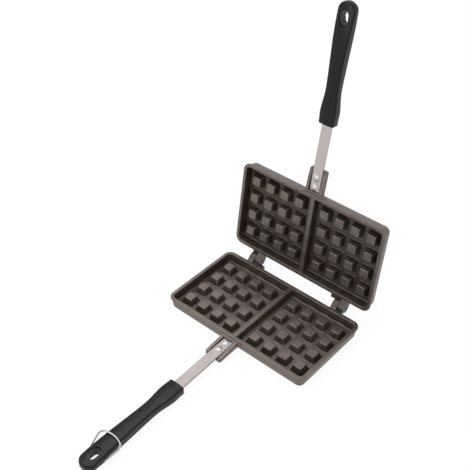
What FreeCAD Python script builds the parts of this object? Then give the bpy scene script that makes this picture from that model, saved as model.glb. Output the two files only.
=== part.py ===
import FreeCAD, Part
import math
import os
import Sketcher

Vector = FreeCAD.Vector
Rotation = FreeCAD.Rotation
Placement = FreeCAD.Placement

# Stovetop waffle iron: two cast plates hinged at the back, each with a riveted
# metal strip and a moulded grip, and a wire bail that ties the grips together.
# Frame: X along the hinge, -Y towards the grips, Z up, with the origin at the
# centre of the lower plate's flat base. All lengths are in millimetres.
# "Drop" is a depth below the parting plane, where the two plates meet.

SIZES = (
    ("plate_half_width", 117.5),
    ("plate_half_depth", 65.65),
    ("plate_height", 17.5),
    ("rim_gap", 0.2),
    ("lip_height", 2.2),
    ("lip_overhang", 1.5),
    ("base_inset", 3.6),
    ("corner_radius", 11.3),
    ("base_round", 1.8),
    ("lip_round", 0.6),
    ("rim_width", 5.0),
    ("cavity_corner_radius", 6.6),
    ("cavity_depth", 13.6),
    ("cavity_draft", 0.75),
    ("cavity_round", 2.0),
    ("rim_inner_round", 0.8),
    ("stud_pitch_across", 25.03),
    ("stud_pitch_deep", 27.31),
    ("stud_middle_pitch", 41.73),
    ("studs_across", 4),
    ("studs_deep", 4),
    ("stud_drop", 3.96),
    ("stud_top_half", 6.35),
    ("stud_base_half", 9.2),
    ("stud_corner_round", 2.0),
    ("stud_top_round", 1.0),
    ("stud_root_round", 1.3),
    ("stud_root_depth", 1.0),
    ("divider_drop", 3.1),
    ("divider_top_half", 3.08),
    ("divider_base_half", 4.9),
    ("divider_round", 1.2),
    ("hinge_offset", 11.19),
    ("hinge_half_spread", 74.0),
    ("knuckle_radius", 7.3),
    ("knuckle_length", 8.9),
    ("knuckle_gap", 0.8),
    ("pin_radius", 2.0),
    ("pin_fit", 0.05),
    ("pin_recess", 0.5),
    ("pin_edge_round", 0.3),
    ("lug_top_drop", 1.3),
    ("lug_bottom_drop", 13.0),
    ("lug_flare", 3.4),
    ("heel_start", 0.6),
    ("heel_end", 6.0),
    ("stop_gap", 0.3),
    ("lid_angle", 98.48),
    ("guide_width", 7.8),
    ("guide_reach", 7.0),
    ("guide_drop", 1.2),
    ("guide_height", 6.5),
    ("guide_gap", 0.4),
    ("guide_round", 1.6),
    ("bracket_reach", 36.35),
    ("bracket_half_width", 12.9),
    ("bracket_near_drop", 1.3),
    ("bracket_far_drop", 5.2),
    ("bracket_floor", 3.6),
    ("bracket_end_round", 2.0),
    ("bracket_flare", 4.6),
    ("flare_bite", 0.25),
    ("channel_half_width", 8.65),
    ("channel_setback", 4.55),
    ("strip_drop", 3.2),
    ("strip_slope", 2.35),
    ("strip_half_width", 7.7),
    ("strip_thickness", 3.2),
    ("strip_end_gap", 0.3),
    ("strip_edge_round", 1.0),
    ("tang_half_width", 4.8),
    ("tang_length", 44.0),
    ("tang_shoulder", 2.5),
    ("tang_hole_radius", 2.4),
    ("tang_hole_spacing", 22.0),
    ("mould_gap", 0.02),
    ("rivet_setback", 5.7),
    ("rivet_spacing", 13.9),
    ("rivet_shank_radius", 2.5),
    ("rivet_fit", 0.02),
    ("rivet_head_radius", 5.0),
    ("rivet_head_height", 1.9),
    ("rivet_head_edge", 0.5),
    ("rivet_tail_radius", 3.9),
    ("rivet_tail_height", 1.3),
    ("grip_distance", 101.05),
    ("grip_length", 159.5),
    ("grip_half_width", 12.6),
    ("grip_side_drop", 5.2),
    ("grip_back_drop", 17.0),
    ("grip_crown_radius", 50.0),
    ("grip_face_round", 2.5),
    ("grip_back_round", 3.6),
    ("grip_end_round", 2.5),
    ("grip_start_round", 2.0),
    ("hanging_hole_setback", 20.0),
    ("hanging_hole_half_length", 8.8),
    ("hanging_hole_half_width", 5.3),
    ("hanging_recess_margin", 1.2),
    ("hanging_recess_depth", 1.2),
    ("wire_radius", 1.2),
    ("bail_setback", 25.0),
    ("bail_drop", 10.5),
    ("bail_length", 27.9),
    ("bail_foot_half_width", 14.2),
    ("bail_arch_half_width", 17.6),
    ("bail_bow_radius", 36.0),
    ("bail_corner_radius", 7.0),
    ("bail_foot_radius", 2.0),
    ("bail_pin_depth", 3.6),
    ("bail_fit", 0.08),
    ("bail_rest_gap", 0.3),
    ("bail_hole_spare", 0.3),
    ("notch_setback", 20.2),
    ("notch_gap", 0.15),
    ("overrun", 2.0),
    ("match_width", 0.05),
)

# The grip along its length, from the plate end to just past the rounded end:
# places as shares of the length, half widths as shares of the widest, and
# the drops of the side's top edge and of the back as shares of their sizes.
STATION_SHARES = (0.0, 0.083, 0.165, 0.253, 0.365, 0.522, 0.679, 0.836, 0.93, 1.03)
WIDTH_SHARES = (0.956, 0.956, 0.901, 0.781, 0.749, 0.81, 0.901, 0.975, 0.985, 0.987)
SIDE_SHARES = (1.0, 0.97, 1.0, 1.08, 1.06, 1.03, 1.1, 1.34, 1.56, 1.82)
BACK_SHARES = (0.958, 0.958, 0.947, 0.917, 0.956, 0.992, 1.0, 1.0, 0.965, 0.72)

VALUES = dict(SIZES)


class Size:
    """A value together with the sheet formula that it comes from."""

    def __init__(self, value, text):
        self.value = value
        self.text = text

    def __add__(self, other):
        return Size(self.value + number(other), f"({self.text} + {formula(other)})")

    def __radd__(self, other):
        return Size(number(other) + self.value, f"({formula(other)} + {self.text})")

    def __sub__(self, other):
        return Size(self.value - number(other), f"({self.text} - {formula(other)})")

    def __rsub__(self, other):
        return Size(number(other) - self.value, f"({formula(other)} - {self.text})")

    def __mul__(self, other):
        return Size(self.value * number(other), f"({self.text} * {formula(other)})")

    __rmul__ = __mul__

    def __truediv__(self, other):
        return Size(self.value / number(other), f"({self.text} / {formula(other)})")

    def __neg__(self):
        return Size(-self.value, f"(-1 * {self.text})")


def number(item):
    return item.value if isinstance(item, Size) else item


def formula(item):
    return item.text if isinstance(item, Size) else repr(item)


def size(name):
    return Size(VALUES[name], "Sizes." + name)


def root(item):
    return Size(math.sqrt(item.value), f"sqrt({item.text})")


def arc_tangent(item):
    degrees = math.degrees(math.atan(item.value))
    return Size(degrees, f"(atan({item.text}) / 1deg)")


def cosine(item):
    return Size(math.cos(math.radians(item.value)), f"cos({item.text} * 1deg)")


def sine(item):
    return Size(math.sin(math.radians(item.value)), f"sin({item.text} * 1deg)")


def make_sheet(doc):
    sheet = doc.addObject("Spreadsheet::Sheet", "Sizes")
    for row, (name, value) in enumerate(SIZES, start=1):
        sheet.set(f"A{row}", name)
        sheet.set(f"B{row}", str(value))
        sheet.setAlias(f"B{row}", name)
    doc.recompute()
    return sheet


# Named places that several pieces share.

def parting():
    return size("plate_height")


def rim_top():
    return size("plate_height") - size("rim_gap") / 2


def floor_level():
    return rim_top() - size("cavity_depth")


def hinge_y():
    return size("plate_half_depth") + size("hinge_offset")


def channel_y():
    return -(size("plate_half_depth") + size("channel_setback"))


def bracket_end_y():
    return -(size("plate_half_depth") + size("bracket_reach"))


def grip_start_y():
    return -(size("plate_half_depth") + size("grip_distance"))


def grip_end_y():
    return grip_start_y() - size("grip_length")


def strip_fall(distance):
    """How far the strip comes down over a distance along -Y."""
    slope = size("strip_slope")
    return distance * sine(slope) / cosine(slope)


def strip_top_at(y):
    return parting() - size("strip_drop") - strip_fall(channel_y() - y)


def upright(thickness):
    """Height of a sloping layer of this thickness, measured straight up."""
    return thickness / cosine(size("strip_slope"))


def bail_pivot():
    return grip_end_y() + size("bail_setback"), parting() - size("bail_drop")


# Sketch and feature helpers.

def new_body(doc, name):
    return doc.addObject("PartDesign::Body", name)


def origin_feature(body, role):
    for item in body.Origin.OriginFeatures:
        if item.Role == role:
            return item
    raise ValueError(role)


def new_sketch(body, name, role, offset=None):
    sketch = body.newObject("Sketcher::SketchObject", name)
    sketch.AttachmentSupport = [(origin_feature(body, role), "")]
    sketch.MapMode = "FlatFace"
    if offset is not None:
        sketch.AttachmentOffset = Placement(Vector(0, 0, offset.value), Rotation())
        sketch.setExpression("AttachmentOffset.Base.z", offset.text)
    return sketch


def bind(sketch, index, item):
    """Tie a sketch dimension to its sheet formula."""
    sketch.setExpression(f"Constraints[{index}]", item.text)


def dimension(sketch, kind, item, *where):
    index = sketch.addConstraint(Sketcher.Constraint(kind, *where, item.value))
    bind(sketch, index, item)


def pin_point(sketch, geo, end, x, y):
    """Hold a sketch point at (x, y) from the sketch origin."""
    for kind, item, axis in (("DistanceX", x, -2), ("DistanceY", y, -1)):
        if isinstance(item, Size):
            dimension(sketch, kind, item, -1, 1, geo, end)
        else:
            sketch.addConstraint(Sketcher.Constraint("PointOnObject", geo, end, axis))


def flat(x, y):
    return Vector(number(x), number(y), 0)


def draw_polygon(sketch, points):
    first = sketch.GeometryCount
    count = len(points)
    for k in range(count):
        start, end = points[k], points[(k + 1) % count]
        sketch.addGeometry(Part.LineSegment(flat(*start), flat(*end)), False)
    for k in range(count):
        follower = first + (k + 1) % count
        sketch.addConstraint(Sketcher.Constraint("Coincident", first + k, 2, follower, 1))
    for k, point in enumerate(points):
        pin_point(sketch, first + k, 1, *point)


def draw_circle(sketch, x, y, radius):
    geo = sketch.addGeometry(Part.Circle(flat(x, y), Vector(0, 0, 1), radius.value), False)
    pin_point(sketch, geo, 3, x, y)
    dimension(sketch, "Radius", radius, geo)


def quarter(x, y, radius, start):
    circle = Part.Circle(Vector(x, y, 0), Vector(0, 0, 1), radius)
    return Part.ArcOfCircle(circle, math.radians(start), math.radians(start + 90))


def join_tangent(sketch, first, second):
    sketch.addConstraint(Sketcher.Constraint("Tangent", first, 2, second, 1))


def draw_rounded_box(sketch, half_x, half_y, radius):
    """A rounded rectangle about the sketch origin, drawn anticlockwise."""
    a, b, r = half_x.value, half_y.value, radius.value
    pieces = (
        Part.LineSegment(Vector(-a + r, -b, 0), Vector(a - r, -b, 0)),
        quarter(a - r, -b + r, r, 270),
        Part.LineSegment(Vector(a, -b + r, 0), Vector(a, b - r, 0)),
        quarter(a - r, b - r, r, 0),
        Part.LineSegment(Vector(a - r, b, 0), Vector(-a + r, b, 0)),
        quarter(-a + r, b - r, r, 90),
        Part.LineSegment(Vector(-a, b - r, 0), Vector(-a, -b + r, 0)),
        quarter(-a + r, -b + r, r, 180),
    )
    for piece in pieces:
        sketch.addGeometry(piece, False)
    for k in range(8):
        join_tangent(sketch, k, (k + 1) % 8)
    for k in (0, 4):
        sketch.addConstraint(Sketcher.Constraint("Horizontal", k))
        sketch.addConstraint(Sketcher.Constraint("Vertical", k + 2))
    for k in (3, 5, 7):
        sketch.addConstraint(Sketcher.Constraint("Equal", 1, k))
    dimension(sketch, "Radius", radius, 1)
    dimension(sketch, "DistanceY", -half_y, -1, 1, 0, 1)
    dimension(sketch, "DistanceX", half_x, -1, 1, 2, 1)
    dimension(sketch, "DistanceY", half_y, -1, 1, 4, 1)
    dimension(sketch, "DistanceX", -half_x, -1, 1, 6, 1)


def draw_slot(sketch, centre_y, half_length, half_width):
    """A slot with round ends along the sketch's Y direction."""
    y, w = centre_y.value, half_width.value
    reach = half_length - half_width
    far, near = y - reach.value, y + reach.value
    low = Part.Circle(Vector(0, far, 0), Vector(0, 0, 1), w)
    high = Part.Circle(Vector(0, near, 0), Vector(0, 0, 1), w)
    sketch.addGeometry(Part.ArcOfCircle(low, math.pi, 2 * math.pi), False)
    sketch.addGeometry(Part.LineSegment(Vector(w, far, 0), Vector(w, near, 0)), False)
    sketch.addGeometry(Part.ArcOfCircle(high, 0, math.pi), False)
    sketch.addGeometry(Part.LineSegment(Vector(-w, near, 0), Vector(-w, far, 0)), False)
    for k in range(4):
        join_tangent(sketch, k, (k + 1) % 4)
    sketch.addConstraint(Sketcher.Constraint("Equal", 0, 2))
    pin_point(sketch, 0, 3, 0, centre_y - reach)
    pin_point(sketch, 2, 3, 0, centre_y + reach)
    dimension(sketch, "Radius", half_width, 0)


def finish_feature(body, feature):
    body.Document.recompute()
    if "Invalid" in feature.State or feature.Shape.isNull():
        raise RuntimeError(f"{body.Name} {feature.Name} failed")
    body.Tip = feature
    return feature


def pad(body, name, sketch, length, taper=None, both=False, back=False):
    feature = body.newObject("PartDesign::Pad", name)
    feature.Profile = sketch
    feature.SideType = "Symmetric" if both else "One side"
    feature.Length = length.value
    feature.setExpression("Length", length.text)
    feature.Reversed = back
    if taper is not None:
        feature.TaperAngle = taper.value
        feature.setExpression("TaperAngle", taper.text)
    return finish_feature(body, feature)


def pocket(body, name, sketch, length, taper=None, both=False, back=False):
    before = body.Shape.Volume
    feature = body.newObject("PartDesign::Pocket", name)
    feature.Profile = sketch
    feature.SideType = "Symmetric" if both else "One side"
    feature.Length = length.value
    feature.setExpression("Length", length.text)
    feature.Reversed = back
    if taper is not None:
        feature.TaperAngle = taper.value
        feature.setExpression("TaperAngle", taper.text)
    finish_feature(body, feature)
    if body.Shape.Volume >= before:
        raise RuntimeError(name + " cuts nothing")
    return feature


def edges_where(shape, test):
    """Names of the edges whose middle and box pass the test."""
    names = []
    for k, edge in enumerate(shape.Edges, start=1):
        middle = edge.valueAt((edge.FirstParameter + edge.LastParameter) / 2)
        if test(middle, edge.BoundBox):
            names.append(f"Edge{k}")
    return names


def fillet(body, name, radius, test):
    base = body.Tip
    names = edges_where(base.Shape, test)
    if not names:
        raise RuntimeError(name + " finds no edge")
    feature = body.newObject("PartDesign::Fillet", name)
    feature.Base = (base, names)
    feature.Radius = radius.value
    feature.setExpression("Radius", radius.text)
    return finish_feature(body, feature)


def near(value, target):
    return abs(value - number(target)) < VALUES["match_width"]


def level(box, target):
    """True for an edge that lies in one horizontal plane."""
    return near(box.ZMin, target) and near(box.ZMax, target)


def inside(middle, half_x, half_y):
    return abs(middle.x) < number(half_x) and abs(middle.y) < number(half_y)


# The cast plate: shell, lip, cavity, divider, handle bracket and hinge lugs.

def add_shell(body):
    inset = size("base_inset")
    height = rim_top() - size("lip_height")
    sketch = new_sketch(body, "base_outline", "XY_Plane")
    draw_rounded_box(sketch, size("plate_half_width") - inset,
                     size("plate_half_depth") - inset, size("corner_radius") - inset)
    draft = arc_tangent((inset - size("lip_overhang")) / height)
    pad(body, "shell", sketch, height, taper=draft)
    outline = new_sketch(body, "lip_outline", "XY_Plane", height)
    draw_rounded_box(outline, size("plate_half_width"), size("plate_half_depth"),
                     size("corner_radius"))
    pad(body, "lip", outline, size("lip_height"))


def add_bracket(body):
    root_y = -(size("plate_half_depth") - size("rim_width") / 2 - size("lip_overhang"))
    end_y = bracket_end_y()
    sketch = new_sketch(body, "bracket_side", "YZ_Plane")
    under = upright(size("strip_thickness") + size("bracket_floor"))
    draw_polygon(sketch, (
        (root_y, strip_top_at(root_y) - under),
        (root_y, parting() - size("bracket_near_drop")),
        (channel_y(), parting() - size("bracket_near_drop")),
        (end_y, parting() - size("bracket_far_drop")),
        (end_y, strip_top_at(end_y) - under),
    ))
    pad(body, "bracket", sketch, size("bracket_half_width") * 2, both=True)
    add_bracket_flares(body)


def add_flare(body, name, corner, out, along, low, high, radius):
    """A concave web between an arm's side and the wall, on a plan outline.

    The corner is where they meet; out and along are +1 or -1: the way off the
    arm's side in X, and the way off the wall in Y. The web's curve bites a
    little into both, so that it ends inside them.
    """
    x, y = corner
    bite = size("flare_bite")
    deep = size("rim_width") / 2
    sketch = new_sketch(body, name + "_outline", "XY_Plane", low)
    centre = (x + (radius - bite) * out, y + (radius - bite) * along)
    on_arm = (x - bite * out, y + (radius - bite) * along)
    on_wall = (x + (radius - bite) * out, y - bite * along)
    points = (on_wall, (on_wall[0], y - deep * along), (x - deep * out, y - deep * along),
              (x - deep * out, on_arm[1]), on_arm)
    for start, stop in zip(points[:-1], points[1:]):
        sketch.addGeometry(Part.LineSegment(flat(*start), flat(*stop)), False)
    first = web_angle(out, along)
    sketch.addGeometry(quarter(centre[0].value, centre[1].value, radius.value, first), False)
    for k in range(3):
        sketch.addConstraint(Sketcher.Constraint("Coincident", k, 2, k + 1, 1))
    begins, ends = (1, 2) if out * along > 0 else (2, 1)
    sketch.addConstraint(Sketcher.Constraint("Coincident", 3, 2, 4, begins))
    sketch.addConstraint(Sketcher.Constraint("Coincident", 4, ends, 0, 1))
    for k, point in enumerate(points[:4]):
        pin_point(sketch, k, 1, *point)
    pin_point(sketch, 3, 2, *points[4])
    dimension(sketch, "Radius", radius, 4)
    pad(body, name, sketch, high - low)


def web_angle(out, along):
    """Where the quarter circle of a web starts, seen from its own centre."""
    if along > 0:
        return 180 if out > 0 else 270
    return 90 if out > 0 else 0


def add_bracket_flares(body):
    """Webs beside the bracket: one down the shell's wall, one along the lip."""
    step = rim_top() - size("lip_height")
    foot = strip_top_at(-size("plate_half_depth"))
    foot = foot - upright(size("strip_thickness") + size("bracket_floor"))
    top = parting() - size("bracket_near_drop")
    lip_y = -size("plate_half_depth")
    wall_y = lip_y + size("lip_overhang")
    radius = size("bracket_flare")
    for label, side in (("left", -1), ("right", 1)):
        x = size("bracket_half_width") * side
        add_flare(body, f"bracket_web_{label}", (x, wall_y), side, -1, foot, step, radius)
        add_flare(body, f"bracket_lip_web_{label}", (x, lip_y), side, -1, step, top, radius)


def add_lug_flare(body, label, start):
    """A web on the outer side of a knuckle, clear of the other plate's one."""
    step = rim_top() - size("lip_height")
    lip_y = size("plate_half_depth")
    wall_y = lip_y - size("lip_overhang")
    low, top = parting() - size("lug_bottom_drop"), parting() - size("lug_top_drop")
    radius = size("lug_flare")
    add_flare(body, f"lug_web_{label}", (start, wall_y), -1, 1, low, step, radius)
    add_flare(body, f"lug_lip_web_{label}", (start, lip_y), -1, 1, step, top, radius)


def draw_lug(sketch):
    """A knuckle drawn down to the back wall by two tangent lines."""
    root_y = size("plate_half_depth") - size("rim_width") / 2 - size("lip_overhang")
    wall_y = size("plate_half_depth")
    foot_y = size("plate_half_depth") - size("base_inset")
    top = parting() - size("lug_top_drop")
    low = parting() - size("lug_bottom_drop")
    y, z, r = hinge_y().value, parting().value, size("knuckle_radius").value
    high = tangent_point(wall_y.value, top.value, y, z, r, 1)
    foot = tangent_point(foot_y.value, low.value, y, z, r, -1)
    circle = Part.Circle(Vector(y, z, 0), Vector(0, 0, 1), r)
    corners = (flat(wall_y, top), flat(root_y, top), flat(root_y, low), flat(foot_y, low))
    sketch.addGeometry(Part.LineSegment(corners[3], Vector(*foot[:2], 0)), False)
    sketch.addGeometry(Part.ArcOfCircle(circle, foot[2], high[2]), False)
    sketch.addGeometry(Part.LineSegment(Vector(*high[:2], 0), corners[0]), False)
    for k in range(3):
        sketch.addGeometry(Part.LineSegment(corners[k], corners[k + 1]), False)
    join_tangent(sketch, 0, 1)
    join_tangent(sketch, 1, 2)
    for k in range(2, 6):
        sketch.addConstraint(Sketcher.Constraint("Coincident", k, 2, (k + 1) % 6, 1))
    pin_point(sketch, 1, 3, hinge_y(), parting())
    dimension(sketch, "Radius", size("knuckle_radius"), 1)
    for k, place in enumerate(((wall_y, top), (root_y, top), (root_y, low), (foot_y, low))):
        pin_point(sketch, (k + 3) % 6, 1, *place)


def tangent_point(px, py, cx, cy, radius, side):
    """Where a line from (px, py) touches a circle, and that point's angle."""
    away = math.atan2(py - cy, px - cx)
    turn = math.acos(radius / math.hypot(px - cx, py - cy))
    angle = away - side * turn
    if side < 0:
        angle -= 2 * math.pi
    return cx + radius * math.cos(angle), cy + radius * math.sin(angle), angle


def knuckle_start(side):
    """X where the knuckle of this hinge begins; both sit on the -X side."""
    return size("hinge_half_spread") * side - size("knuckle_gap") / 2 - size("knuckle_length")


def add_lug(body, label, side):
    start = knuckle_start(side)
    sketch = new_sketch(body, "lug_side_" + label, "YZ_Plane", start)
    draw_lug(sketch)
    pad(body, "lug_" + label, sketch, size("knuckle_length"))
    add_lug_flare(body, label, start)
    heel = new_sketch(body, "heel_side_" + label, "YZ_Plane", start)
    draw_polygon(heel, heel_points())
    pad(body, "heel_" + label, heel, size("knuckle_length"))


def heel_points():
    """The stop's outline, whose top faces the other plate's open back wall."""
    tilt = size("lid_angle") - 90
    top = size("hinge_offset") - size("stop_gap")
    inner = size("knuckle_radius") / 2
    places = (
        (inner, size("heel_start")),
        (inner, size("heel_end") - size("heel_start")),
        (top, size("heel_end")),
        (top, size("heel_start")),
    )
    points = []
    for up, along in places:
        y = hinge_y() + up * sine(tilt) + along * cosine(tilt)
        z = parting() + up * cosine(tilt) - along * sine(tilt)
        points.append((y, z))
    return points


def add_guide(body):
    """A small lug beside the other plate's knuckle, at the -X hinge."""
    edge = -size("hinge_half_spread") + size("knuckle_gap") / 2 + size("knuckle_length")
    root_y = size("plate_half_depth") - size("rim_width") / 2 - size("lip_overhang")
    tip_y = size("plate_half_depth") + size("guide_reach")
    top = parting() - size("guide_drop")
    low = top - size("guide_height")
    sketch = new_sketch(body, "guide_side", "YZ_Plane", edge + size("guide_gap"))
    draw_polygon(sketch, (
        (root_y, low - size("guide_reach") / 2),
        (tip_y, low),
        (tip_y, top),
        (root_y, top),
    ))
    pad(body, "guide", sketch, size("guide_width"))
    lines = guide_tip_test(tip_y)
    fillet(body, "guide_tip", size("guide_round"), lines)


def guide_tip_test(tip_y):
    def test(middle, box):
        return near(box.YMin, tip_y) and near(box.YMax, tip_y) and near(box.ZMin, box.ZMax)
    return test


def add_cavity(body):
    wall = size("rim_width")
    sketch = new_sketch(body, "cavity_outline", "XY_Plane", rim_top())
    draw_rounded_box(sketch, size("plate_half_width") - wall,
                     size("plate_half_depth") - wall, size("cavity_corner_radius"))
    draft = -arc_tangent(size("cavity_draft") / size("cavity_depth"))
    pocket(body, "cavity", sketch, size("cavity_depth"), taper=draft)


def add_divider(body):
    top = parting() - size("divider_drop")
    low = floor_level() - size("stud_root_depth")
    sketch = new_sketch(body, "divider_section", "XZ_Plane")
    draw_polygon(sketch, (
        (-size("divider_base_half"), low),
        (size("divider_base_half"), low),
        (size("divider_base_half"), floor_level()),
        (size("divider_top_half"), top),
        (-size("divider_top_half"), top),
        (-size("divider_base_half"), floor_level()),
    ))
    length = (size("plate_half_depth") - size("rim_width") / 2) * 2
    pad(body, "divider", sketch, length, both=True)


def add_channel(body):
    """The strip's seat between the bracket's walls, with rivet holes."""
    end_y = bracket_end_y() - size("overrun")
    above = parting() + size("overrun")
    thick = upright(size("strip_thickness"))
    sketch = new_sketch(body, "channel_side", "YZ_Plane")
    draw_polygon(sketch, (
        (channel_y(), strip_top_at(channel_y()) - thick),
        (channel_y(), above),
        (end_y, above),
        (end_y, strip_top_at(end_y) - thick),
    ))
    pocket(body, "channel", sketch, size("channel_half_width") * 2, both=True)
    for k in range(2):
        add_rivet_hole(body, k)


def rivet_place(k):
    """Y and Z of a rivet's seat on the strip's top face."""
    y = channel_y() - size("rivet_setback") - size("rivet_spacing") * k
    return y, strip_top_at(y)


def add_rivet_hole(body, k):
    y, z = rivet_place(k)
    sketch = new_sketch(body, f"rivet_hole_circle_{k + 1}", "XY_Plane")
    tilt = size("strip_slope")
    turn = Rotation(Vector(1, 0, 0), tilt.value)
    sketch.AttachmentOffset = Placement(Vector(0, y.value, z.value), turn)
    sketch.setExpression("AttachmentOffset.Base.y", y.text)
    sketch.setExpression("AttachmentOffset.Base.z", z.text)
    sketch.setExpression("AttachmentOffset.Rotation.Angle", tilt.text)
    draw_circle(sketch, 0, 0, size("rivet_shank_radius") + size("rivet_fit"))
    depth = size("strip_thickness") + size("bracket_floor") + size("overrun")
    pocket(body, f"rivet_hole_{k + 1}", sketch, depth)


def add_pin_holes(body):
    """Each knuckle's bore, with the same clearance round the pin in both plates."""
    for label, side in (("left", -1), ("right", 1)):
        sketch = new_sketch(body, "bore_" + label, "YZ_Plane", knuckle_start(side))
        draw_circle(sketch, hinge_y(), parting(), size("pin_radius") + size("pin_fit"))
        pocket(body, "pin_hole_" + label, sketch, size("knuckle_length"), back=True)


def round_rim(body):
    """The casting's soft edges, before the divider joins its walls."""
    wide, deep = size("plate_half_width"), size("plate_half_depth")
    overrun = size("overrun")
    fillet(body, "base_edge", size("base_round"),
           lambda middle, box: level(box, 0) and inside(middle, wide, deep))
    fillet(body, "lip_edge", size("lip_round"), lip_edge_test())
    fillet(body, "rim_inner_edge", size("rim_inner_round"),
           lambda middle, box: level(box, rim_top())
           and inside(middle, wide - overrun, deep - overrun))
    fillet(body, "cavity_floor_edge", size("cavity_round"),
           lambda middle, box: level(box, floor_level()) and inside(middle, wide, deep))


def round_divider(body):
    fillet(body, "divider_root", size("divider_round"),
           lambda middle, box: level(box, floor_level())
           and near(abs(middle.x), size("divider_base_half")))
    fillet(body, "divider_edge", size("divider_round"),
           lambda middle, box: level(box, parting() - size("divider_drop"))
           and near(abs(middle.x), size("divider_top_half")))


def lip_edge_test():
    wide, deep = size("plate_half_width"), size("plate_half_depth")
    overrun = size("overrun")

    def test(middle, box):
        if not level(box, rim_top()):
            return False
        return not inside(middle, wide - overrun, deep - overrun)
    return test


def bracket_end_test():
    def test(middle, box):
        upright = box.ZLength > number(size("bracket_floor")) / 2
        at_end = near(box.YMin, bracket_end_y()) and near(box.YMax, bracket_end_y())
        return upright and at_end
    return test


def make_pan(doc, tag):
    body = new_body(doc, "pan_" + tag)
    add_shell(body)
    add_bracket(body)
    for label, side in (("left", -1), ("right", 1)):
        add_lug(body, label, side)
    add_guide(body)
    add_cavity(body)
    round_rim(body)
    add_divider(body)
    round_divider(body)
    add_channel(body)
    add_pin_holes(body)
    fillet(body, "bracket_ends", size("bracket_end_round"), bracket_end_test())
    return body


def make_studs(doc, tag):
    """One rounded stud on a thin root block, repeated over both halves."""
    body = new_body(doc, "studs_" + tag)
    body.AllowCompound = True
    x = size("stud_middle_pitch") / 2
    y = -size("stud_pitch_deep") * (size("studs_deep") - 1) / 2
    block = new_sketch(body, "root_outline", "XY_Plane", floor_level() - size("stud_root_depth"))
    draw_square(block, x, y, size("stud_base_half") + size("stud_root_round"))
    pad(body, "root_block", block, size("stud_root_depth"))
    foot = new_sketch(body, "stud_outline", "XY_Plane", floor_level())
    draw_square(foot, x, y, size("stud_base_half"))
    tall = parting() - size("stud_drop") - floor_level()
    draft = -arc_tangent((size("stud_base_half") - size("stud_top_half")) / tall)
    pad(body, "stud", foot, tall, taper=draft)
    round_stud(body, x, y)
    repeat_studs(body)
    return body


def draw_square(sketch, x, y, half):
    draw_polygon(sketch, ((x - half, y - half), (x + half, y - half),
                          (x + half, y + half), (x - half, y + half)))


def round_stud(body, x, y):
    top = parting() - size("stud_drop")
    base = floor_level()

    def corner(middle, box):
        return near(box.ZMin, base) and near(box.ZMax, top)

    def crown(middle, box):
        return level(box, top)

    def foot(middle, box):
        reach = size("stud_base_half") + size("stud_root_round") / 2
        close = abs(middle.x - x.value) < reach.value and abs(middle.y - y.value) < reach.value
        return level(box, base) and close

    fillet(body, "stud_corners", size("stud_corner_round"), corner)
    fillet(body, "stud_crown", size("stud_top_round"), crown)
    fillet(body, "stud_foot", size("stud_root_round"), foot)


def repeat_studs(body):
    for axis, pitch, count in (("X_Axis", "stud_pitch_across", "studs_across"),
                               ("Y_Axis", "stud_pitch_deep", "studs_deep")):
        pattern = body.newObject("PartDesign::LinearPattern", count)
        pattern.TransformMode = "Whole shape"
        pattern.Refine = False
        pattern.Direction = (origin_feature(body, axis), [""])
        pattern.Mode = "Spacing"
        pattern.Offset = VALUES[pitch]
        pattern.setExpression("Offset", "Sizes." + pitch)
        pattern.Occurrences = VALUES[count]
        pattern.setExpression("Occurrences", "Sizes." + count)
        finish_feature(body, pattern)
    mirror = body.newObject("PartDesign::Mirrored", "studs_other_half")
    mirror.TransformMode = "Whole shape"
    mirror.Refine = False
    mirror.MirrorPlane = (origin_feature(body, "YZ_Plane"), [""])
    finish_feature(body, mirror)


def make_casting(doc):
    """The pan and its studs: both plates are this one casting."""
    return make_pan(doc, "casting"), make_studs(doc, "casting")


def make_plate(doc, label, half, casting):
    plate = doc.addObject("Part::MultiFuse", label)
    plate.Shapes = list(casting)
    plate.Refine = False
    plate.Label = label
    plate.Placement = half
    return plate


# The strip that carries the grip, and its rivets.

def strip_place():
    """Frame of the strip: origin on its top face at the channel's end wall."""
    y = channel_y().value
    z = strip_top_at(channel_y()).value
    return Placement(Vector(0, y, z), Rotation(Vector(1, 0, 0), VALUES["strip_slope"]))


def along_strip(distance):
    """Length along the sloping strip for a distance along -Y."""
    return distance / cosine(size("strip_slope"))


def shoulder_reach():
    return along_strip(channel_y() - grip_start_y()) + size("tang_shoulder")


def draw_strip(sketch, gap):
    wide = size("strip_half_width") + gap
    narrow = size("tang_half_width") + gap
    start = -size("strip_end_gap") + gap
    waist = -(shoulder_reach() + gap)
    tip = -(shoulder_reach() + size("tang_length") + gap)
    draw_polygon(sketch, ((wide, start), (-wide, start), (-wide, waist), (-narrow, waist),
                          (-narrow, tip), (narrow, tip), (narrow, waist), (wide, waist)))


def tang_hole_y(k):
    first = shoulder_reach() + (size("tang_length") - size("tang_hole_spacing")) / 2
    return -(first + size("tang_hole_spacing") * k)


def make_strip_body(doc, name, gap):
    body = new_body(doc, name)
    outline = new_sketch(body, "strip_outline", "XY_Plane", gap * 1)
    draw_strip(outline, gap)
    pad(body, "bar", outline, size("strip_thickness") + gap * 2, back=True)
    for k in range(2):
        sketch = new_sketch(body, f"tang_hole_circle_{k + 1}", "XY_Plane", gap * 1)
        draw_circle(sketch, 0, tang_hole_y(k), size("tang_hole_radius") - gap)
        pocket(body, f"tang_hole_{k + 1}", sketch, size("strip_thickness") + gap * 2)
    return body


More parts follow.
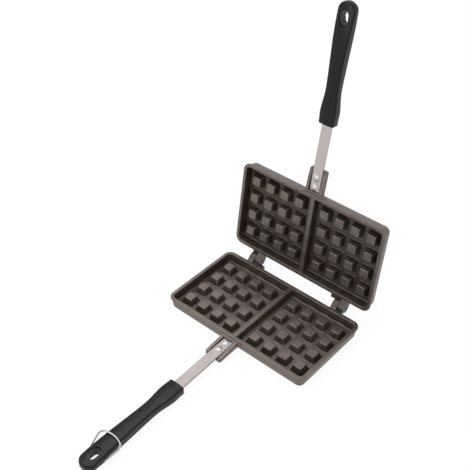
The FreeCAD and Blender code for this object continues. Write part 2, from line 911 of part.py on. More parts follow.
def make_strip(doc, label, half):
    body = make_strip_body(doc, label, size("mould_gap") * 0)
    for k in range(2):
        sketch = new_sketch(body, f"rivet_circle_{k + 1}", "XY_Plane")
        reach = along_strip(size("rivet_setback") + size("rivet_spacing") * k)
        draw_circle(sketch, 0, -reach, size("rivet_shank_radius") + size("rivet_fit"))
        pocket(body, f"rivet_hole_{k + 1}", sketch, size("strip_thickness"))
    edge = size("strip_half_width")
    fillet(body, "strip_edges", size("strip_edge_round"),
           lambda middle, box: near(abs(middle.x), edge) and box.YLength > number(edge))
    body.Label = label
    body.Placement = half.multiply(strip_place())
    return body


def make_rivet(doc, label, half, k):
    body = new_body(doc, label)
    sketch = new_sketch(body, "rivet_section", "XZ_Plane")
    draw_rivet(sketch)
    feature = body.newObject("PartDesign::Revolution", "turned")
    feature.Profile = sketch
    feature.ReferenceAxis = (sketch, ["V_Axis"])
    feature.Angle = 360
    finish_feature(body, feature)
    body.Label = label
    reach = along_strip(size("rivet_setback") + size("rivet_spacing") * k)
    place = strip_place().multiply(Placement(Vector(0, -reach.value, 0), Rotation()))
    body.Placement = half.multiply(place)
    return body


def draw_rivet(sketch):
    """Half section: domed head, shank and flat set tail."""
    head, edge = size("rivet_head_radius"), size("rivet_head_edge")
    shank, tail = size("rivet_shank_radius"), size("rivet_tail_radius")
    grip = size("strip_thickness") + size("bracket_floor")
    foot = -grip - size("rivet_tail_height")
    crown = size("rivet_head_height")
    outline = ((0, crown), (0, foot), (tail, foot), (tail, -grip), (shank, -grip),
               (shank, 0), (head, 0), (head, edge))
    for start, end in zip(outline[:-1], outline[1:]):
        sketch.addGeometry(Part.LineSegment(flat(*start), flat(*end)), False)
    rise = crown.value - edge.value
    radius = (head.value ** 2 + rise ** 2) / (2 * rise)
    centre = Vector(0, crown.value - radius, 0)
    circle = Part.Circle(centre, Vector(0, 0, 1), radius)
    start = math.atan2(edge.value - centre.y, head.value)
    sketch.addGeometry(Part.ArcOfCircle(circle, start, math.pi / 2), False)
    for k in range(6):
        sketch.addConstraint(Sketcher.Constraint("Coincident", k, 2, k + 1, 1))
    sketch.addConstraint(Sketcher.Constraint("Coincident", 6, 2, 7, 1))
    sketch.addConstraint(Sketcher.Constraint("Coincident", 7, 2, 0, 1))
    sketch.addConstraint(Sketcher.Constraint("PointOnObject", 7, 3, -2))
    for k, point in enumerate(outline[:-1]):
        pin_point(sketch, k, 1, *point)
    pin_point(sketch, 6, 2, *outline[-1])


# The moulded grip.

def grip_section(k):
    """Half width, side top and back of one station of the grip."""
    half = size("grip_half_width") * WIDTH_SHARES[k]
    side = parting() - size("grip_side_drop") * SIDE_SHARES[k]
    back = parting() - size("grip_back_drop") * BACK_SHARES[k]
    return half, side, back


def draw_grip_section(sketch, half, side, back):
    """Crowned face with small corners, upright sides and a rounder back."""
    face, under = size("grip_face_round"), size("grip_back_round")
    crown = size("grip_crown_radius")
    reach = crown - face
    span = half - face
    centre = side - root(reach * reach - span * span)
    lean = math.atan2(side.value - centre.value, span.value)
    h, s, b = half.value, side.value, back.value
    f, u = face.value, under.value
    low_left = Part.Circle(Vector(-h + u, b + u, 0), Vector(0, 0, 1), u)
    low_right = Part.Circle(Vector(h - u, b + u, 0), Vector(0, 0, 1), u)
    right = Part.Circle(Vector(h - f, s, 0), Vector(0, 0, 1), f)
    left = Part.Circle(Vector(-h + f, s, 0), Vector(0, 0, 1), f)
    top = Part.Circle(Vector(0, centre.value, 0), Vector(0, 0, 1), crown.value)
    pieces = (
        Part.LineSegment(Vector(-h + u, b, 0), Vector(h - u, b, 0)),
        Part.ArcOfCircle(low_right, -math.pi / 2, 0),
        Part.LineSegment(Vector(h, b + u, 0), Vector(h, s, 0)),
        Part.ArcOfCircle(right, 0, lean),
        Part.ArcOfCircle(top, lean, math.pi - lean),
        Part.ArcOfCircle(left, math.pi - lean, math.pi),
        Part.LineSegment(Vector(-h, s, 0), Vector(-h, b + u, 0)),
        Part.ArcOfCircle(low_left, math.pi, 1.5 * math.pi),
    )
    for piece in pieces:
        sketch.addGeometry(piece, False)
    for k in range(8):
        join_tangent(sketch, k, (k + 1) % 8)
    sketch.addConstraint(Sketcher.Constraint("Horizontal", 0))
    sketch.addConstraint(Sketcher.Constraint("Vertical", 2))
    sketch.addConstraint(Sketcher.Constraint("Vertical", 6))
    sketch.addConstraint(Sketcher.Constraint("Equal", 1, 7))
    sketch.addConstraint(Sketcher.Constraint("Equal", 3, 5))
    dimension(sketch, "Radius", under, 1)
    dimension(sketch, "Radius", face, 3)
    dimension(sketch, "Radius", crown, 4)
    dimension(sketch, "DistanceY", back, -1, 1, 0, 1)
    dimension(sketch, "DistanceX", half, -1, 1, 2, 1)
    dimension(sketch, "DistanceX", -half, -1, 1, 6, 1)
    pin_point(sketch, 4, 3, 0, centre)


def make_grip_body(doc, name, lower):
    body = new_body(doc, name)
    sections = []
    for k, share in enumerate(STATION_SHARES):
        place = -grip_start_y() + size("grip_length") * share
        sketch = new_sketch(body, f"grip_section_{k + 1}", "XZ_Plane", place)
        draw_grip_section(sketch, *grip_section(k))
        sections.append(sketch)
    loft = body.newObject("PartDesign::AdditiveLoft", "grip_form")
    loft.Profile = sections[0]
    loft.Sections = sections[1:]
    finish_feature(body, loft)
    add_grip_end(body)
    add_hanging_hole(body)
    if lower:
        add_bail_holes(body)
    else:
        add_notch(body)
    return body


def add_grip_end(body):
    """Trim the far end to a half circle and soften both ends."""
    end = grip_end_y()
    radius = size("grip_half_width")
    centre = end + radius
    wide = radius + size("overrun")
    low = end - size("overrun") - size("grip_length") * (STATION_SHARES[-1] - 1)
    sketch = new_sketch(body, "end_outline", "XY_Plane", parting())
    points = ((radius, centre), (wide, centre), (wide, low), (-wide, low),
              (-wide, centre), (-radius, centre))
    for start, stop in zip(points[:-1], points[1:]):
        sketch.addGeometry(Part.LineSegment(flat(*start), flat(*stop)), False)
    circle = Part.Circle(flat(0, centre), Vector(0, 0, 1), radius.value)
    sketch.addGeometry(Part.ArcOfCircle(circle, math.pi, 2 * math.pi), False)
    for k in range(5):
        sketch.addConstraint(Sketcher.Constraint("Coincident", k, 2, (k + 1) % 6, 1))
    sketch.addConstraint(Sketcher.Constraint("Coincident", 5, 2, 0, 1))
    for k, point in enumerate(points[:5]):
        pin_point(sketch, k, 1, *point)
    pin_point(sketch, 4, 2, *points[5])
    dimension(sketch, "DistanceY", centre, -1, 1, 5, 3)
    pocket(body, "end_trim", sketch, parting())
    fillet(body, "end_edges", size("grip_end_round"), grip_end_test(centre))
    start = grip_start_y()
    fillet(body, "start_edges", size("grip_start_round"),
           lambda middle, box: near(box.YMin, start) and near(box.YMax, start))


def grip_end_test(centre):
    """Edges that the half circle's trim has left around the far end."""
    def test(middle, box):
        reach = math.hypot(middle.x, middle.y - centre.value)
        return middle.y < centre.value and near(reach, size("grip_half_width"))
    return test


def add_hanging_hole(body):
    centre = grip_end_y() + size("hanging_hole_setback")
    margin = size("hanging_recess_margin")
    face = grip_face_level(7) - size("hanging_recess_depth")
    recess = new_sketch(body, "recess_outline", "XY_Plane", face)
    draw_slot(recess, centre, size("hanging_hole_half_length") + margin,
              size("hanging_hole_half_width") + margin)
    pocket(body, "hanging_recess", recess, parting() - face, back=True)
    hole = new_sketch(body, "hanging_outline", "XY_Plane", parting())
    draw_slot(hole, centre, size("hanging_hole_half_length"), size("hanging_hole_half_width"))
    pocket(body, "hanging_hole", hole, parting())


def grip_face_level(k):
    """Height of the crowned face's middle at a station."""
    half, side, back = grip_section(k)
    reach = size("grip_crown_radius") - size("grip_face_round")
    span = half - size("grip_face_round")
    return side - root(reach * reach - span * span) + size("grip_crown_radius")


def bail_pin_end():
    return size("bail_foot_half_width") - size("bail_pin_depth") - size("bail_foot_radius")


def add_bail_holes(body):
    """Blind holes in both sides, where the bail's bent ends turn."""
    y, z = bail_pivot()
    inner = bail_pin_end() - size("bail_hole_spare")
    length = size("grip_half_width") + size("overrun") - inner
    for label, side in (("left", -1), ("right", 1)):
        sketch = new_sketch(body, "bail_hole_circle_" + label, "YZ_Plane", inner * side)
        draw_circle(sketch, y, z, size("wire_radius") + size("bail_fit"))
        pocket(body, "bail_hole_" + label, sketch, length, back=side > 0)


def notch_drop():
    """Depth at which the bail's middle lies when it is swung over this grip."""
    along = size("bail_setback") - size("notch_setback")
    length = size("bail_length")
    return root(length * length - along * along) - size("bail_drop")


def add_notch(body):
    """The groove across the back that the latched wire's bow lies in."""
    length, bow = size("bail_length"), size("bail_bow_radius")
    along = size("bail_setback") - size("notch_setback")
    lean_y = along / length
    lean_z = root(length * length - along * along) / length
    y = grip_end_y() + size("notch_setback")
    z = parting() - notch_drop()
    middle_y, middle_z = y + bow * lean_y, z + bow * lean_z
    sketch = new_sketch(body, "notch_circle", "YZ_Plane")
    far_y, far_z = middle_y - bow * lean_z, middle_z + bow * lean_y
    sketch.addGeometry(Part.LineSegment(flat(middle_y, middle_z), flat(far_y, far_z)), True)
    pin_point(sketch, 0, 1, middle_y, middle_z)
    pin_point(sketch, 0, 2, far_y, far_z)
    draw_circle(sketch, y, z, size("wire_radius") + size("notch_gap"))
    feature = body.newObject("PartDesign::Groove", "notch")
    feature.Profile = sketch
    feature.ReferenceAxis = (sketch, ["Axis0"])
    feature.Angle = 360
    before = body.Shape.Volume
    finish_feature(body, feature)
    if body.Shape.Volume >= before:
        raise RuntimeError("the notch cuts nothing")


def make_grip(doc, label, half, lower):
    form = make_grip_body(doc, label + "_form", lower)
    tang = make_strip_body(doc, label + "_tang", size("mould_gap"))
    tang.Placement = strip_place()
    grip = doc.addObject("Part::Cut", label)
    grip.Base = form
    grip.Tool = tang
    grip.Label = label
    grip.Placement = half
    return grip


# The hinge pins and the bail.

def make_pin(doc, label, side):
    body = new_body(doc, label)
    start = knuckle_start(side) + size("pin_recess")
    sketch = new_sketch(body, "pin_circle", "YZ_Plane", start)
    draw_circle(sketch, hinge_y(), parting(), size("pin_radius"))
    length = size("knuckle_length") * 2 + size("knuckle_gap") - size("pin_recess") * 2
    pad(body, "pin", sketch, length)
    fillet(body, "pin_ends", size("pin_edge_round"), lambda middle, box: near(box.XLength, 0))
    body.Label = label
    return body


def bail_points():
    """Key places of half the bail, worked out from its named sizes."""
    bow, corner = VALUES["bail_bow_radius"], VALUES["bail_corner_radius"]
    foot, bend = VALUES["bail_foot_half_width"], VALUES["bail_foot_radius"]
    arch, length = VALUES["bail_arch_half_width"], VALUES["bail_length"]
    bow_centre = length - bow
    lean = math.atan2(arch - foot, length)
    corner_x = arch - corner
    reach = bow - corner
    corner_y = bow_centre + math.sqrt(reach * reach - corner_x * corner_x)
    return bow_centre, lean, corner_x, corner_y, bend


def draw_bail_path(sketch):
    bow_centre, lean, cx, cy, bend = bail_points()
    bow, corner = VALUES["bail_bow_radius"], VALUES["bail_corner_radius"]
    foot = VALUES["bail_foot_half_width"]
    end = bail_pin_end().value
    turn = math.atan2(cy - bow_centre, cx)
    leg_top = Vector(cx + corner * math.cos(lean), cy - corner * math.sin(lean), 0)
    bend_x, bend_y = foot - bend, bend
    leg_low = Vector(bend_x + bend * math.cos(lean), bend_y - bend * math.sin(lean), 0)
    z = Vector(0, 0, 1)
    right_bend = Part.Circle(Vector(bend_x, bend_y, 0), z, bend)
    left_bend = Part.Circle(Vector(-bend_x, bend_y, 0), z, bend)
    right_corner = Part.Circle(Vector(cx, cy, 0), z, corner)
    left_corner = Part.Circle(Vector(-cx, cy, 0), z, corner)
    middle = Part.Circle(Vector(0, bow_centre, 0), z, bow)
    flip = math.pi
    pieces = (
        Part.LineSegment(Vector(end, 0, 0), Vector(bend_x, 0, 0)),
        Part.ArcOfCircle(right_bend, -math.pi / 2, -lean),
        Part.LineSegment(leg_low, leg_top),
        Part.ArcOfCircle(right_corner, -lean, turn),
        Part.ArcOfCircle(middle, turn, flip - turn),
        Part.ArcOfCircle(left_corner, flip - turn, flip + lean),
        Part.LineSegment(Vector(-leg_top.x, leg_top.y, 0), Vector(-leg_low.x, leg_low.y, 0)),
        Part.ArcOfCircle(left_bend, flip + lean, 1.5 * math.pi),
        Part.LineSegment(Vector(-bend_x, 0, 0), Vector(-end, 0, 0)),
    )
    for piece in pieces:
        sketch.addGeometry(piece, False)
    for k in range(8):
        join_tangent(sketch, k, k + 1)
    hold_bail_path(sketch)


def hold_bail_path(sketch):
    """Dimensions of the bail's centre line."""
    for k in (0, 8):
        sketch.addConstraint(Sketcher.Constraint("Horizontal", k))
    pin_point(sketch, 0, 1, bail_pin_end(), 0)
    dimension(sketch, "DistanceX", -bail_pin_end(), -1, 1, 8, 2)
    dimension(sketch, "DistanceX", size("bail_foot_half_width") - size("bail_foot_radius"),
              -1, 1, 1, 3)
    dimension(sketch, "DistanceX", -(size("bail_foot_half_width") - size("bail_foot_radius")),
              -1, 1, 7, 3)
    dimension(sketch, "Radius", size("bail_foot_radius"), 1)
    dimension(sketch, "Radius", size("bail_foot_radius"), 7)
    dimension(sketch, "Radius", size("bail_corner_radius"), 3)
    dimension(sketch, "Radius", size("bail_corner_radius"), 5)
    dimension(sketch, "Radius", size("bail_bow_radius"), 4)
    across = size("bail_arch_half_width") - size("bail_corner_radius")
    dimension(sketch, "DistanceX", across, -1, 1, 3, 3)
    dimension(sketch, "DistanceX", -across, -1, 1, 5, 3)
    pin_point(sketch, 4, 3, 0, size("bail_length") - size("bail_bow_radius"))


def bail_rest_angle():
    """The bail lies folded with its bow just above the grip's crowned face."""
    bow = grip_face_level(6) + size("bail_rest_gap") + size("wire_radius")
    rise = bow - bail_pivot()[1]
    return math.degrees(math.asin(rise.value / VALUES["bail_length"]))


def make_bail(doc, label):
    body = new_body(doc, label)
    path = new_sketch(body, "bail_path", "XY_Plane")
    draw_bail_path(path)
    profile = new_sketch(body, "wire_section", "YZ_Plane", bail_pin_end())
    draw_circle(profile, 0, 0, size("wire_radius"))
    doc.recompute()
    pipe = body.newObject("PartDesign::AdditivePipe", "wire")
    pipe.Profile = profile
    pipe.Spine = (path, [f"Edge{k + 1}" for k in range(9)])
    finish_feature(body, pipe)
    y, z = bail_pivot()
    body.Label = label
    body.Placement = Placement(Vector(0, y.value, z.value),
                               Rotation(Vector(1, 0, 0), bail_rest_angle()))
    print("bail folded at", round(bail_rest_angle(), 3), "degrees, pivot", y.value, z.value)
    return body


# Placing the two halves, checking and writing.

def open_place():
    """The upper half: the lower one turned over, then opened on the hinge."""
    z = parting().value
    over = Placement(Vector(0, 0, 2 * z), Rotation(Vector(0, 1, 0), 180))
    turn = Rotation(Vector(1, 0, 0), -VALUES["lid_angle"])
    axis = Vector(0, hinge_y().value, z)
    swing = Placement(Vector(0, 0, 0), turn, axis)
    return swing.multiply(over)


def make_half(doc, name, half, lower, casting):
    nodes = [make_plate(doc, name + "_plate", half, casting)]
    nodes.append(make_strip(doc, name + "_handle_strip", half))
    for k, where in enumerate(("inner", "outer")):
        nodes.append(make_rivet(doc, f"{name}_{where}_rivet", half, k))
    nodes.append(make_grip(doc, name + "_grip", half, lower))
    return nodes


def check_objects(doc, nodes):
    for item in doc.Objects:
        if "Invalid" in item.State or "Error" in item.State:
            raise RuntimeError(f"{item.Name} is {item.State}")
    for node in nodes:
        shape = node.Shape
        if shape.isNull() or not shape.isValid() or len(shape.Solids) != 1:
            raise RuntimeError(f"{node.Label} is not one valid solid")


def main():
    doc = FreeCAD.newDocument("waffle_iron")
    make_sheet(doc)
    casting = make_casting(doc)
    nodes = make_half(doc, "lower", Placement(), True, casting)
    nodes += make_half(doc, "upper", open_place(), False, casting)
    nodes.append(make_pin(doc, "left_hinge_pin", -1))
    nodes.append(make_pin(doc, "right_hinge_pin", 1))
    nodes.append(make_bail(doc, "bail_latch"))
    doc.recompute()
    check_objects(doc, nodes)
    os.makedirs("parts", exist_ok=True)
    for node in nodes:
        node.Shape.exportStep(f"parts/{node.Label}.step")
        print(node.Label, round(node.Shape.Volume, 1))


main()
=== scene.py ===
import bpy
import math
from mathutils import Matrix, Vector

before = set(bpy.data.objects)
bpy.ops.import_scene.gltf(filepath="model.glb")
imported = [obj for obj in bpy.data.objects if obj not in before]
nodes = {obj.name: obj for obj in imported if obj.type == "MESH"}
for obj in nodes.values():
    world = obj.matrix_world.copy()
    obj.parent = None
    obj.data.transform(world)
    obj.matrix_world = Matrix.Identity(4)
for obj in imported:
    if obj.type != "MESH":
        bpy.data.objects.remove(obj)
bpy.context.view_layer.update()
bpy.context.scene.view_settings.view_transform = "Standard"


# Camera: at the photograph's place, angle and focal length.

CAMERA_PLACE = (0.52333, -0.65737, 0.84905)
CAMERA_AZIMUTH = math.radians(41.0883)
CAMERA_ELEVATION = math.radians(39.7502)
FOCAL_LENGTH = 66.207
SENSOR_WIDTH = 36.0
CLIP_RANGE = (0.05, 100.0)


def add_camera():
    data = bpy.data.cameras.new("camera")
    data.sensor_width = SENSOR_WIDTH
    data.lens = FOCAL_LENGTH
    data.clip_start, data.clip_end = CLIP_RANGE
    cam = bpy.data.objects.new("camera", data)
    bpy.context.scene.collection.objects.link(cam)
    level = math.cos(CAMERA_ELEVATION)
    back = Vector((math.sin(CAMERA_AZIMUTH) * level,
                   -math.cos(CAMERA_AZIMUTH) * level, math.sin(CAMERA_ELEVATION)))
    cam.location = CAMERA_PLACE
    cam.rotation_mode = "QUATERNION"
    cam.rotation_quaternion = (-back).to_track_quat("-Z", "Y")
    bpy.context.scene.camera = cam


# Node helpers.

def new_material(name):
    material = bpy.data.materials.new(name)
    material.use_nodes = True
    tree = material.node_tree
    return material, tree, tree.nodes["Principled BSDF"]


def add(tree, kind, **settings):
    """A new node; each setting goes to the input of that name, or to the node."""
    node = tree.nodes.new(kind)
    for key, value in settings.items():
        if key in node.inputs:
            node.inputs[key].default_value = value
        else:
            setattr(node, key, value)
    return node


def place_map(tree, scale=(1, 1, 1), turn=(0, 0, 0)):
    """Object coordinates, turned and then scaled, in metres."""
    where = add(tree, "ShaderNodeTexCoord")
    mapping = add(tree, "ShaderNodeMapping")
    mapping.inputs["Rotation"].default_value = turn
    mapping.inputs["Scale"].default_value = scale
    tree.links.new(where.outputs["Object"], mapping.inputs["Vector"])
    return mapping.outputs["Vector"]


def noise(tree, vector, scale, detail=3.0, roughness=0.5):
    node = add(tree, "ShaderNodeTexNoise", Scale=scale, Detail=detail, Roughness=roughness)
    tree.links.new(vector, node.inputs["Vector"])
    return node.outputs["Fac"]


def ramp(tree, fac, stops):
    """Two colours, each at its place between 0 and 1, blended between them."""
    node = add(tree, "ShaderNodeValToRGB")
    for element, (position, colour) in zip(node.color_ramp.elements, stops):
        element.position = position
        element.color = (*colour, 1.0)
    tree.links.new(fac, node.inputs["Fac"])
    return node.outputs["Color"]


def spread(tree, fac, low, high):
    """A number between 0 and 1 spread over the range from low to high."""
    node = add(tree, "ShaderNodeMapRange")
    node.inputs["To Min"].default_value = low
    node.inputs["To Max"].default_value = high
    tree.links.new(fac, node.inputs["Value"])
    return node.outputs["Result"]


def combine(tree, operation, first, second):
    """One sum of two numbers; either may be a plain number."""
    node = add(tree, "ShaderNodeMath", operation=operation)
    for socket, value in zip(node.inputs, (first, second)):
        if isinstance(value, (int, float)):
            socket.default_value = value
        else:
            tree.links.new(value, socket)
    return node.outputs[0]


def step_between(tree, value, start, end):
    """0 before start and 1 after end, with an even rise between them."""
    node = add(tree, "ShaderNodeMapRange")
    node.inputs["From Min"].default_value = start
    node.inputs["From Max"].default_value = end
    tree.links.new(value, node.inputs["Value"])
    return node.outputs["Result"]


def blend(tree, share, first, second):
    node = add(tree, "ShaderNodeMix", data_type="RGBA")
    tree.links.new(share, node.inputs[0])
    tree.links.new(first, node.inputs[6])
    tree.links.new(second, node.inputs[7])
    return node.outputs[2]


def bump(tree, height, distance, strength=1.0, below=None):
    node = add(tree, "ShaderNodeBump", Distance=distance, Strength=strength)
    tree.links.new(height, node.inputs["Height"])
    if below is not None:
        tree.links.new(below, node.inputs["Normal"])
    return node.outputs["Normal"]


def dress(node, material):
    """Puts the material in each of the node's slots."""
    mesh = nodes[node].data
    if not mesh.materials:
        mesh.materials.append(material)
    for k in range(len(mesh.materials)):
        mesh.materials[k] = material


# The castings' coating: its tone follows the height over the plate's outer
# face, with painted shade on the pan floor between the studs and on the hinge
# knuckles. Lengths are in metres. Where a tone changes, a pair of places says
# where the change starts and where it ends.

LID_OPEN = math.radians(98.48)
HINGE_Y, HINGE_Z = 0.07684, 0.0175
PAN_FLOOR_FROM = (0.002, 0.003)
STUD_TOP_TO_FLOOR = (0.0115, 0.0045)
PAN_HALF_WIDTH = (0.1125, 0.1115)
PAN_HALF_DEPTH = (0.0605, 0.0595)
KNUCKLES_FROM = (0.0665, 0.0675)
CASTING_TONE = (0.170, 0.143, 0.129)
MOTTLE_SHARES = (0.78, 1.22)
# Painted shade on the hinge knuckles, as a share of the coating's brightness.
KNUCKLE_SHADE_TONE = 0.62
# Painted shade on the pan floor between the studs, as a share of the coating's brightness;
# the upper plate's is darker.
LOWER_RECESS_SHADE_TONE = 0.86
UPPER_RECESS_SHADE_TONE = 0.55


def plate_position(tree, turn, centre):
    """Place on a plate that lies open side up: across, along and height."""
    parts = add(tree, "ShaderNodeSeparateXYZ")
    tree.links.new(place_map(tree, turn=(turn, 0, 0)), parts.inputs[0])
    along = combine(tree, "SUBTRACT", parts.outputs["Y"], centre[0])
    height = combine(tree, "SUBTRACT", parts.outputs["Z"], centre[1])
    return parts.outputs["X"], along, height


def recess_shade_share(tree, across, along, height):
    """1 on the floor between the studs, where shade is painted, and 0 on their tops and
    outside the pan.
    """
    across = combine(tree, "ABSOLUTE", across, 0.0)
    along = combine(tree, "ABSOLUTE", along, 0.0)
    share = step_between(tree, height, *STUD_TOP_TO_FLOOR)
    limits = ((height, PAN_FLOOR_FROM), (across, PAN_HALF_WIDTH), (along, PAN_HALF_DEPTH))
    for value, limit in limits:
        share = combine(tree, "MULTIPLY", share, step_between(tree, value, *limit))
    return share


def knuckle_shade_share(tree, along, side):
    """1 on the hinge knuckles past the plate's back wall, where shade is painted, and 0
    elsewhere.
    """
    return step_between(tree, combine(tree, "MULTIPLY", along, side), *KNUCKLES_FROM)


def mottled(tree, mottle, share):
    """The coating's mottled tone, scaled by a share of its brightness."""
    dark, light = (tuple(c * share * part for c in CASTING_TONE) for part in MOTTLE_SHARES)
    return ramp(tree, mottle, ((0.3, dark), (0.7, light)))


def coated_casting(name, turn, centre, side, recess_shade_tone):
    """Satin non-stick coating on cast aluminium, with painted shade on the pan floor between
    the studs and on the hinge knuckles.
    """
    material, tree, shader = new_material(name)
    vector = place_map(tree)
    mottle = noise(tree, vector, 110.0, 8.0, 0.72)
    across, along, height = plate_position(tree, turn, centre)
    # Painted shade: the coating darkened on the pan floor between the studs.
    shaded_floor_tint = mottled(tree, mottle, recess_shade_tone)
    tint = blend(tree, recess_shade_share(tree, across, along, height),
                 mottled(tree, mottle, 1.0), shaded_floor_tint)
    # Painted shade: the coating darkened on the hinge knuckles.
    knuckle_shade = mottled(tree, mottle, KNUCKLE_SHADE_TONE)
    tint = blend(tree, knuckle_shade_share(tree, along, side), tint, knuckle_shade)
    tree.links.new(tint, shader.inputs["Base Color"])
    grain = noise(tree, vector, 1400.0, 2.0, 0.6)
    cast = noise(tree, vector, 260.0, 3.0, 0.55)
    normal = bump(tree, cast, 0.00012, 0.5)
    normal = bump(tree, grain, 0.00004, 0.6, normal)
    tree.links.new(normal, shader.inputs["Normal"])
    rough = spread(tree, mottle, 0.36, 0.46)
    tree.links.new(rough, shader.inputs["Roughness"])
    shader.inputs["Metallic"].default_value = 0.8
    shader.inputs["Specular IOR Level"].default_value = 0.3
    return material


def dress_castings():
    """The upper plate is the lower one, turned over and opened on the hinge."""
    lower = coated_casting("coated_casting_lower", 0.0, (0.0, 0.0), 1, LOWER_RECESS_SHADE_TONE)
    turn = math.pi + LID_OPEN
    hinge_y = HINGE_Y * math.cos(turn) - HINGE_Z * math.sin(turn)
    hinge_z = HINGE_Y * math.sin(turn) + HINGE_Z * math.cos(turn)
    centre = (hinge_y + HINGE_Y, hinge_z - HINGE_Z)
    upper = coated_casting("coated_casting_upper", turn, centre, -1, UPPER_RECESS_SHADE_TONE)
    dress("lower_plate", lower)
    dress("upper_plate", upper)


# The other materials.

STRIP_LEAN = math.radians(-2.35)
STRIP_LINES = (1400.0, 14.0, 1400.0)


def brushed_strip(name, turn, dark, light):
    """Rolled steel bar with fine lines along its length."""
    material, tree, shader = new_material(name)
    lines = place_map(tree, STRIP_LINES, (turn, 0, 0))
    streak = noise(tree, lines, 1.0, 3.0, 0.6)
    broad = noise(tree, place_map(tree), 45.0, 2.0, 0.5)
    tint = ramp(tree, streak, ((0.25, dark), (0.75, light)))
    tree.links.new(tint, shader.inputs["Base Color"])
    tree.links.new(bump(tree, streak, 0.00002, 0.5), shader.inputs["Normal"])
    tree.links.new(spread(tree, broad, 0.30, 0.42), shader.inputs["Roughness"])
    shader.inputs["Metallic"].default_value = 1.0
    return material


def bright_rivet(name):
    """Plain bright metal, lightly scuffed."""
    material, tree, shader = new_material(name)
    vector = place_map(tree)
    scuff = noise(tree, vector, 900.0, 3.0, 0.6)
    tint = ramp(tree, scuff, ((0.3, (0.48, 0.465, 0.455)), (0.7, (0.58, 0.565, 0.555))))
    tree.links.new(tint, shader.inputs["Base Color"])
    tree.links.new(bump(tree, scuff, 0.00001, 0.5), shader.inputs["Normal"])
    tree.links.new(spread(tree, scuff, 0.36, 0.46), shader.inputs["Roughness"])
    shader.inputs["Metallic"].default_value = 1.0
    return material


def moulded_plastic(name):
    """Black moulded plastic with a satin shine and a faint ripple."""
    material, tree, shader = new_material(name)
    vector = place_map(tree)
    ripple = noise(tree, vector, 160.0, 2.0, 0.5)
    fine = noise(tree, vector, 1800.0, 2.0, 0.5)
    tint = ramp(tree, ripple, ((0.3, (0.0045, 0.0042, 0.0040)),
                               (0.7, (0.0085, 0.0079, 0.0076))))
    tree.links.new(tint, shader.inputs["Base Color"])
    normal = bump(tree, ripple, 0.00006, 0.35)
    normal = bump(tree, fine, 0.00001, 0.5, normal)
    tree.links.new(normal, shader.inputs["Normal"])
    tree.links.new(spread(tree, fine, 0.22, 0.30), shader.inputs["Roughness"])
    shader.inputs["Specular IOR Level"].default_value = 0.24
    return material


def drawn_wire(name, tone):
    """Drawn round wire with faint marks."""
    material, tree, shader = new_material(name)
    vector = place_map(tree)
    mark = noise(tree, vector, 700.0, 3.0, 0.6)
    dark = tuple(c * 0.8 for c in tone)
    tree.links.new(ramp(tree, mark, ((0.3, dark), (0.7, tone))), shader.inputs["Base Color"])
    tree.links.new(bump(tree, mark, 0.00002, 0.4), shader.inputs["Normal"])
    tree.links.new(spread(tree, mark, 0.18, 0.32), shader.inputs["Roughness"])
    shader.inputs["Metallic"].default_value = 1.0
    return material


def dress_all():
    dress_castings()
    lower_strip = brushed_strip("brushed_strip_lower", STRIP_LEAN,
                                (0.255, 0.234, 0.230), (0.385, 0.354, 0.349))
    dress("lower_handle_strip", lower_strip)
    # The upper strip's tones are painted lighter than the lower strip's: painted light on
    # the same steel bar.
    upper_strip = brushed_strip("brushed_strip_upper", STRIP_LEAN + LID_OPEN,
                                (0.38, 0.350, 0.339), (0.56, 0.516, 0.499))
    dress("upper_handle_strip", upper_strip)
    rivet = bright_rivet("bright_rivet")
    for side in ("lower", "upper"):
        for place in ("inner", "outer"):
            dress(f"{side}_{place}_rivet", rivet)
    plastic = moulded_plastic("moulded_plastic")
    for node in ("lower_grip", "upper_grip"):
        dress(node, plastic)
    # The pin's near-black tone is painted shade for the dark pin holes at the ends of the
    # hinge barrels.
    pin = drawn_wire("hinge_pin_steel", (0.12, 0.11, 0.105))
    for node in ("left_hinge_pin", "right_hinge_pin"):
        dress(node, pin)
    dress("bail_latch", drawn_wire("bail_wire", (0.50, 0.47, 0.45)))


# Floor, world and lamps.

WHITE = (1.0, 1.0, 1.0, 1.0)
FLOOR_COLOUR = (0.80, 0.80, 0.80, 1.0)
FLOOR_REACH = 20.0
FLOOR_LEVEL = -0.0001
FLOOR_GLOW = 1.12
FLOOR_GLOW_SHARE = 0.82
WORLD_LIGHT = 0.45


def seen_directly(tree):
    """1 for rays from the camera, in reflections or through glass."""
    path = add(tree, "ShaderNodeLightPath").outputs
    seen = combine(tree, "MAXIMUM", path["Is Camera Ray"], path["Is Glossy Ray"])
    return combine(tree, "MAXIMUM", seen, path["Is Transmission Ray"])


def mix_shaders(tree, share, first, second, output):
    """The first shader at share 0 and the second at 1, sent to the output."""
    mix = add(tree, "ShaderNodeMixShader")
    tree.links.new(share, mix.inputs["Fac"])
    tree.links.new(first.outputs[0], mix.inputs[1])
    tree.links.new(second.outputs[0], mix.inputs[2])
    tree.links.new(mix.outputs[0], tree.nodes[output].inputs["Surface"])


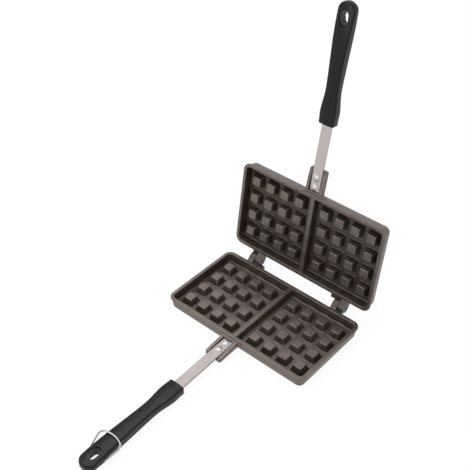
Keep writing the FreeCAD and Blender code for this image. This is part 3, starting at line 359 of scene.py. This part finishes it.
def pale_floor_material():
    """Matt and pale; where it is seen, most of it is an even white glow."""
    material, tree, shader = new_material("pale_floor")
    shader.inputs["Base Color"].default_value = FLOOR_COLOUR
    shader.inputs["Roughness"].default_value = 0.9
    shader.inputs["Specular IOR Level"].default_value = 0.0
    glow = add(tree, "ShaderNodeEmission", Color=WHITE, Strength=FLOOR_GLOW)
    share = combine(tree, "MULTIPLY", seen_directly(tree), FLOOR_GLOW_SHARE)
    mix_shaders(tree, share, shader, glow, "Material Output")
    return material


def add_floor():
    mesh = bpy.data.meshes.new("floor")
    corners = ((-1, -1), (1, -1), (1, 1), (-1, 1))
    points = [(x * FLOOR_REACH, y * FLOOR_REACH, FLOOR_LEVEL) for x, y in corners]
    mesh.from_pydata(points, [], [(0, 1, 2, 3)])
    floor = bpy.data.objects.new("floor", mesh)
    bpy.context.scene.collection.objects.link(floor)
    mesh.materials.append(pale_floor_material())


def add_world():
    world = bpy.data.worlds.new("studio")
    world.use_nodes = True
    bpy.context.scene.world = world
    tree = world.node_tree
    plain = tree.nodes["Background"]
    plain.inputs["Color"].default_value = WHITE
    plain.inputs["Strength"].default_value = WORLD_LIGHT
    white = add(tree, "ShaderNodeBackground", Color=WHITE, Strength=1.0)
    mix_shaders(tree, seen_directly(tree), plain, white, "World Output")


def add_lamp(name, place, aim, size, power):
    data = bpy.data.lights.new(name, "AREA")
    data.shape = "RECTANGLE"
    data.size, data.size_y = size
    data.energy = power
    lamp = bpy.data.objects.new(name, data)
    lamp.location = place
    lamp.rotation_mode = "QUATERNION"
    lamp.rotation_quaternion = (Vector(aim) - Vector(place)).to_track_quat("-Z", "Y")
    bpy.context.scene.collection.objects.link(lamp)


def light_all():
    """Name, place, aimed at, size and power of each soft lamp."""
    add_lamp("top_lamp", (-0.6, 0.3, 1.9), (0, 0, 0.1), (1.2, 1.2), 9.0)
    add_lamp("left_lamp", (-1.8, -0.9, 1.2), (0, -0.05, 0.1), (0.8, 1.4), 5.0)
    add_lamp("front_lamp", (-0.5, -2.0, 0.7), (0, 0, 0.15), (0.8, 0.8), 6.0)


dress_all()
add_floor()
add_world()
light_all()
add_camera()
